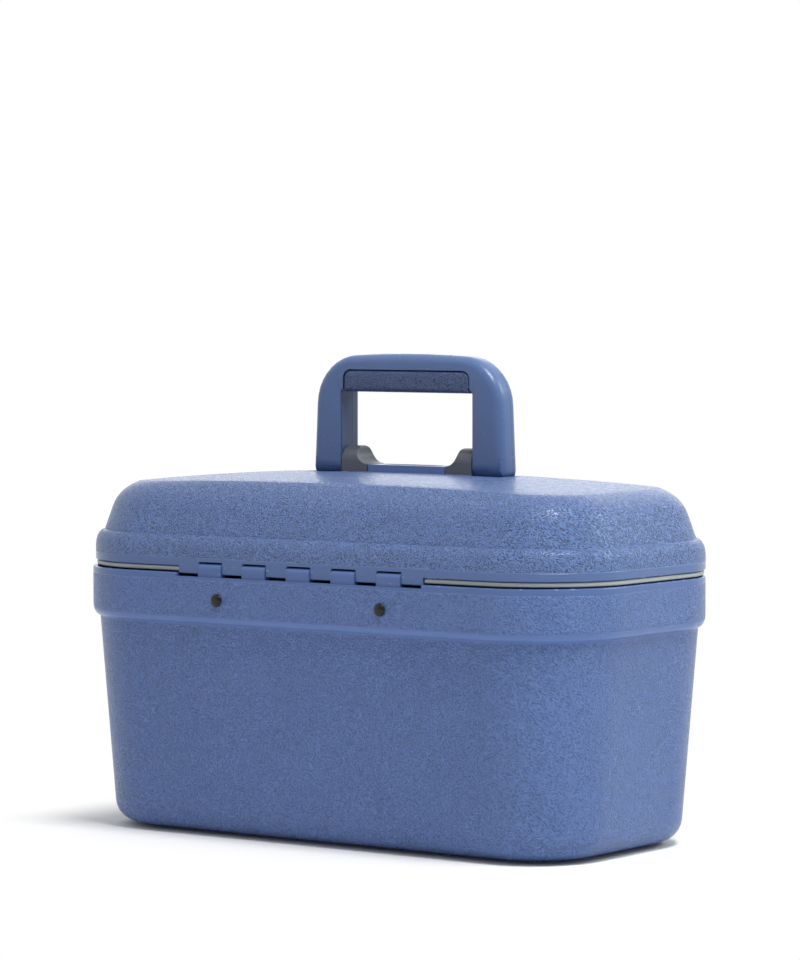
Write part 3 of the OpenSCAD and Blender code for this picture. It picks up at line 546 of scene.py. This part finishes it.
class CASE_OT_shells(bpy.types.Operator):
    """Give the base and the lid their leather grain, and the seal its rubber"""

    bl_idname = "case.shells"
    bl_label = "Shells and Seal"

    def execute(self, context):
        sizes, colours = context.scene.case_sizes, context.scene.case_colours
        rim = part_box("rim_seal")[1].z
        base_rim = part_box("base_shell")[1].z
        belt = JOINTS["lid_hinge"]["pos_m"][2] - UNDER_AXIS
        roll = belt - sizes.belt_height
        base_band, lid_band = belt - sizes.base_band, rim + sizes.lid_band
        base = shell_finish("shell_base", sizes, colours.shell, BASE_MIDDLE, colours.base_contrast,
            [(roll - UNDER_ROLL, roll + sizes.belt_roll, sizes.soft_edge, ROLL_TONE),
                (base_band, base_rim + FAR, sizes.sharp_edge, BAND_TONE)], [base_band], [belt])
        lid_colour = [c * fade for c, fade in zip(colours.shell, LID_FADE)]
        lid = shell_finish("shell_lid", sizes, lid_colour, LID_MIDDLE, colours.lid_contrast,
            [(rim - FAR, lid_band, sizes.sharp_edge, BAND_TONE)], [lid_band], [rim])
        paint(base, "base_shell")
        piece = welded_copy("lid_shell", "lid_skin", 32)
        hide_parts("lid_shell")
        settle(piece, "lid_shell", lid)

        low, high = (corner.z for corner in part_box("rim_seal"))

        def grime(nodes):
            """Painted shade where the seal's bead turns in to the rims, for the shadow gaps above
            and below it.
            """
            away = abs(nodes.heights()[2] - (low + high) / 2)
            return nodes.rise(away, (high - low) * 0.31, (high - low) * 0.38)

        paint(satin_finish("seal_rubber", colours.seal, 0.55, detail=grime), "rim_seal")
        return {"FINISHED"}


class CASE_OT_handle(bpy.types.Operator):
    """Finish the handle, its grip, its pivot blocks and the plate between them"""

    bl_idname = "case.handle"
    bl_label = "Handle"

    def execute(self, context):
        sizes, colours = context.scene.case_sizes, context.scene.case_colours
        low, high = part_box("handle_bow")
        middle = low.y * PARTING_SHARE + high.y * (1 - PARTING_SHARE)

        def parting(nodes):
            """Fine line where the mould's halves met, and painted shade on the inner faces of the
            bow.
            """
            line = nodes.rise(abs(nodes.heights()[1] - middle), 0.25 * MM, 0.6 * MM, 0.3, 0.0)
            normal = nodes.add("ShaderNodeTexCoord", [], "Normal")
            outwards = nodes.vector("DOT_PRODUCT", normal, (1, 0, 0), output=1) * nodes.heights()[0]
            # painted shade on the faces that look in towards the middle of the bow
            return nodes.rise(outwards, -0.04, -0.02, 0.6, 0.0) + line

        smooth = satin_finish("handle_plastic", colours.handle, 0.26, detail=parting,
            specular_ior_level=0.32)
        bow = welded_copy("handle_bow", "handle_skin", 50)
        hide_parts("handle_bow")
        settle(bow, "handle_bow", smooth)
        self.add_grip(sizes, grip_finish("grip_rubber", sizes, colours.grip))
        plate = satin_finish("plate_plastic", scaled(colours.handle, 1.25), 0.3, edge=sizes.edge,
            specular_ior_level=0.32)
        paint(plate, "mount_plate")
        paint(satin_finish("block_plastic", colours.block, 0.36, edge=sizes.edge * 1.6),
            "pivot_block_left", "pivot_block_right")
        return {"FINISHED"}

    def add_grip(self, sizes, material):
        """A soft roll that swells out of the bow on both faces and underneath."""
        low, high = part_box("grip_insert")
        low = low + Vector((sizes.grip_gap, -sizes.grip_proud, -sizes.grip_proud))
        high = high + Vector((-sizes.grip_gap, sizes.grip_proud, -sizes.grip_gap))
        deselect()
        bpy.ops.mesh.primitive_cube_add(size=1, location=(low + high) / 2)
        grip = bpy.context.view_layer.objects.active
        grip.name = "grip_roll"
        grip.scale = high - low
        bpy.ops.object.transform_apply(location=True, scale=True)

        def upper_corner(a, b):
            return min(a.z, b.z) > high.z - NEAR and abs(a.x - b.x) < NEAR

        def face_border(a, b):
            return abs(a.y - b.y) < NEAR and not low.y + NEAR <= a.y <= high.y - NEAR

        round_edges(grip, upper_corner, sizes.grip_corner, 8)
        round_edges(grip, face_border, sizes.grip_round, 6)
        bpy.ops.object.shade_smooth_by_angle(angle=math.radians(50))
        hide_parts("grip_insert")
        settle(grip, "grip_insert", material)


class CASE_OT_hardware(bpy.types.Operator):
    """Finish the rivets, the strap, and the steel pins, plates and screws"""

    bl_idname = "case.hardware"
    bl_label = "Hinge, Rivets and Screws"

    def execute(self, context):
        sizes, colours = context.scene.case_sizes, context.scene.case_colours
        steel = brushed_finish("zinc_steel", colours.steel, 0.34)
        paint(steel, "hinge_pin", "rivet_washers", "pivot_pins", "backing_plate", "block_screws",
            "plate_screws", "dial_axle", "hasp_pin", "lock_screws", "mirror_screws")
        lacquer = finish("rivet_lacquer", colours.rivet, 0.16, edge=sizes.rivet_dome,
            specular_ior_level=0.35)
        paint(lacquer, "rivet_left", "rivet_right")
        paint(strap_finish("strap_weave", sizes, colours.strap), "elastic_strap")
        for node, name, direction in (("lock_screws", "lock_screw_heads", (0, 1, 0)),
                ("mirror_screws", "mirror_screw_heads", (0, 0, -1))):
            piece = welded_copy(node, name)
            low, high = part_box(node)
            if direction[1]:
                r = (high.z - low.z) / 2
                places = [Vector((x, high.y, low.z + r)) for x in (low.x + r, high.x - r)]
            else:
                r = SMALL_HEAD
                places = [Vector((x, y, low.z)) for x in (low.x + r, high.x - r)
                    for y in (low.y + r, high.y - r)]
            cross_slots(piece, places, direction, sizes.screw_slot, r * SLOT_REACH)
            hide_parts(node)
            settle(piece, node, steel)
        return {"FINISHED"}


class CASE_OT_lock(bpy.types.Operator):
    """Finish the lock and put the numbers on its dials"""

    bl_idname = "case.lock"
    bl_label = "Lock"

    def execute(self, context):
        sizes, colours = context.scene.case_sizes, context.scene.case_colours
        painted = satin_finish("lock_paint", colours.lock, 0.36, edge=sizes.edge, metallic=0.7)
        paint(painted, "lock_body", "lock_backplate", "hasp_bracket", "hasp")
        gloss = satin_finish("dial_plastic", colours.dial, 0.25, edge=sizes.edge * 0.6)
        paint(gloss, "dial_left", "dial_middle", "dial_right", "release_slider")
        ink = satin_finish("number_ink", colours.number, 0.5)
        for side in ("left", "middle", "right"):
            self.add_numbers(sizes, side, ink)
        return {"FINISHED"}

    def add_numbers(self, sizes, side, ink):
        """Sets 0 to 9 round a dial, each on the lips of one of its grooves."""
        low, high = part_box("dial_" + side)
        centre = (low + high) / 2
        radius = (high.z - low.z) / 2
        pitch = 2 * math.pi / DIGITS  # a groove and the land beside it are equally wide
        reach = radius * math.cos(pitch / 4)
        digits = []
        for k in range(DIGITS):
            deselect()
            bpy.ops.object.text_add()
            digit = bpy.context.view_layer.objects.active
            digit.data.body = str(k)
            digit.data.size = sizes.number_height / DIGIT_SHARE
            digit.data.align_x = "CENTER"
            digit.data.extrude = sizes.number_relief
            digit.data.resolution_u = 3
            bpy.ops.object.convert(target="MESH")
            angle = -pitch * k
            out = Vector((0, -math.cos(angle), math.sin(angle)))
            up = Vector((0, math.sin(angle), math.cos(angle)))
            foot = centre + out * reach - up * (sizes.number_height / 2)
            digit.matrix_world = Matrix(((1, 0, 0, foot.x), (0, up.y, out.y, foot.y),
                (0, up.z, out.z, foot.z), (0, 0, 0, 1)))
            bpy.ops.object.transform_apply(location=True, rotation=True, scale=True)
            digits.append(digit)
        deselect()
        for digit in digits:
            digit.select_set(True)
        bpy.context.view_layer.objects.active = digits[0]
        bpy.ops.object.join()
        piece = bpy.context.view_layer.objects.active
        piece.name = f"dial_{side}_numbers"
        settle(piece, "dial_" + side, ink)


class CASE_OT_tray(bpy.types.Operator):
    """Finish the lift-out tray"""

    bl_idname = "case.tray"
    bl_label = "Tray"

    def execute(self, context):
        sizes, colours = context.scene.case_sizes, context.scene.case_colours
        plastic = satin_finish("tray_plastic", colours.tray, 0.5, edge=sizes.edge * 1.4)
        paint(plastic, "organiser_tray")
        return {"FINISHED"}


class CASE_OT_mirror(bpy.types.Operator):
    """Finish the lid's mirror, with its frame and backing"""

    bl_idname = "case.mirror"
    bl_label = "Mirror"

    def execute(self, context):
        sizes, colours = context.scene.case_sizes, context.scene.case_colours
        plastic = satin_finish("frame_plastic", colours.frame, 0.42, edge=sizes.edge * 1.4)
        paint(plastic, "mirror_frame")
        paint(satin_finish("backing_sheet", colours.backing, 0.7), "mirror_backing")
        self.add_glass(sizes, self.silver(colours.glass))
        return {"FINISHED"}

    def silver(self, colour):
        """Silvered glass with a breath of dust."""

        def build(nodes):
            dust = nodes.rise(nodes.noise(nodes.place(), 8 * MM, 4.0), 0.45, 0.8)
            return {"Roughness": dust * 0.05 + 0.015,
                "Base Color": nodes.blend(dust, colour, scaled(colour, 0.93))}

        return finish("silvered_glass", colour, 0.02, build, metallic=1.0)

    def add_glass(self, sizes, material):
        """The mirror's flat sheet, with a border marked off on its face."""
        glass = welded_copy("lid_mirror", "mirror_glass", 10)
        bpy.ops.object.mode_set(mode="EDIT")
        bpy.ops.mesh.select_all(action="SELECT")
        bpy.ops.mesh.tris_convert_to_quads(face_threshold=math.radians(1), shape_threshold=math.pi)
        bpy.ops.mesh.dissolve_limited(angle_limit=math.radians(1))
        bpy.ops.mesh.select_mode(type="FACE")
        bpy.ops.mesh.select_all(action="DESELECT")
        bpy.ops.object.mode_set(mode="OBJECT")
        for face in glass.data.polygons:
            face.select = face.normal.z < -0.9
        bpy.ops.object.mode_set(mode="EDIT")
        bpy.ops.mesh.inset(thickness=sizes.glass_border)
        bpy.ops.mesh.select_all(action="SELECT")
        bpy.ops.transform.translate(value=(0, 0, sizes.glass_back))
        bpy.ops.object.mode_set(mode="OBJECT")
        bpy.ops.object.shade_flat()
        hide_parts("lid_mirror")
        settle(glass, "lid_mirror", material)


class CASE_OT_stage(bpy.types.Operator):
    """Set up the floor, the lamps, the surroundings and the camera"""

    bl_idname = "case.stage"
    bl_label = "Stage"

    def execute(self, context):
        stage = context.scene.case_stage
        self.add_floor(context.scene.case_colours.floor)
        self.light_world(context.scene, stage)
        for name, lamp in LAMPS.items():
            self.add_lamp(name + "_lamp", getattr(stage, name), *lamp)
        self.add_camera(context.scene, stage)
        context.scene.view_settings.view_transform = "Standard"
        return {"FINISHED"}

    def add_floor(self, colour):
        """A floor that keeps the case's shadow and is white further out."""
        deselect()
        bpy.ops.mesh.primitive_plane_add(size=FLOOR_SIZE, location=(0, 0, -FLOOR_DROP))
        floor = bpy.context.view_layer.objects.active
        floor.name = "studio_floor"
        bpy.ops.object.transform_apply(location=True)
        material = bpy.data.materials.new("floor_paint")
        material.use_nodes = True
        nodes = Nodes(material.node_tree)
        x, y, _ = nodes.heights()
        past_x = nodes.maths("MAXIMUM", abs(x) - SHADOW_X, 0.0)
        past_y = nodes.maths("MAXIMUM", abs(y) - SHADOW_Y, 0.0)
        beyond = nodes.maths("SQRT", past_x * past_x + past_y * past_y)
        clear = nodes.rise(beyond, 0.0, SHADOW_FADE)
        paint_layer = nodes.add("ShaderNodeBsdfDiffuse", {"Color": (*colour, 1)})
        glow = nodes.add("ShaderNodeEmission", {"Color": (1, 1, 1, 1), "Strength": 1.0})
        both = nodes.add("ShaderNodeMixShader", [self.seen(nodes) * clear, paint_layer, glow])
        nodes.add("ShaderNodeOutputMaterial", [both])
        floor.data.materials.append(material)

    def seen(self, nodes):
        """1 on rays that show the background, 0 on those that carry its light."""
        rays = [nodes.add("ShaderNodeLightPath", [], name)
            for name in ("Is Camera Ray", "Is Glossy Ray", "Is Transmission Ray")]
        return nodes.maths("MAXIMUM", nodes.maths("MAXIMUM", rays[0], rays[1]), rays[2])

    def light_world(self, scene, stage):
        """White all round, dimmer from the camera's side, and always white where it is seen."""
        world = bpy.data.worlds.new("studio")
        scene.world = world
        world.use_nodes = True
        nodes = Nodes(world.node_tree)
        camera = nodes.add("ShaderNodeLightPath", [], "Is Camera Ray")
        side = Vector(stage.place).normalized()
        around = nodes.add("ShaderNodeTexCoord", [], "Generated")
        facing = nodes.vector("DOT_PRODUCT", around, side, output=1)
        mirrored = self.seen(nodes)
        dim = mirrored * (stage.gloss_dim - stage.front_dim) + (stage.front_dim - 1)
        dim = nodes.rise(facing, -0.1, 0.9) * dim + 1
        strength = (mirrored * (1 - stage.ambient) + stage.ambient) * dim
        nodes.add("ShaderNodeOutputWorld", [nodes.add("ShaderNodeBackground",
            {"Color": (1, 1, 1, 1), "Strength": nodes.maths("MAXIMUM", strength, camera)})])

    def add_lamp(self, name, power, place, target, size, tint):
        deselect()
        bpy.ops.object.light_add(type="AREA", location=place)
        lamp = bpy.context.view_layer.objects.active
        lamp.name = name
        lamp.data.shape = "RECTANGLE"
        lamp.data.size, lamp.data.size_y = size
        lamp.data.energy = power
        lamp.data.color = tint
        lamp.rotation_euler = (Vector(target) - Vector(place)).to_track_quat("-Z", "Y").to_euler()

    def add_camera(self, scene, stage):
        deselect()
        turn = (math.pi / 2 + stage.pitch, 0, math.pi + stage.yaw)
        bpy.ops.object.camera_add(location=stage.place, rotation=turn)
        camera = bpy.context.view_layer.objects.active
        camera.name = "studio_camera"
        camera.data.sensor_width = 36
        camera.data.lens = stage.lens
        camera.data.clip_end = 50
        scene.camera = camera


class CASE_PT_panel(bpy.types.Panel):
    """Lists the steps and the values that they use"""

    bl_label = "Beauty Case"
    bl_idname = "CASE_PT_panel"
    bl_space_type = "VIEW_3D"
    bl_region_type = "UI"
    bl_category = "Beauty Case"

    def draw(self, context):
        for step in OPERATORS:
            self.layout.operator(step.bl_idname)
        for group, kind in GROUPS.items():
            for name in kind.__annotations__:
                self.layout.prop(getattr(context.scene, group), name)


GROUPS = {"case_sizes": CaseSizes, "case_colours": CaseColours, "case_stage": CaseStage}
OPERATORS = (CASE_OT_stage, CASE_OT_shells, CASE_OT_handle, CASE_OT_hardware, CASE_OT_lock,
    CASE_OT_tray, CASE_OT_mirror)


def register():
    for cls in (*GROUPS.values(), *OPERATORS, CASE_PT_panel):
        bpy.utils.register_class(cls)
    for name, group in GROUPS.items():
        setattr(bpy.types.Scene, name, PointerProperty(type=group))


def unregister():
    for name in GROUPS:
        delattr(bpy.types.Scene, name)
    for cls in reversed((*GROUPS.values(), *OPERATORS, CASE_PT_panel)):
        bpy.utils.unregister_class(cls)


def main():
    register()
    bpy.ops.case.stage()
    bpy.ops.case.shells()
    bpy.ops.case.handle()
    bpy.ops.case.hardware()
    bpy.ops.case.lock()
    bpy.ops.case.tray()
    bpy.ops.case.mirror()


if __name__ == "__main__":
    main()
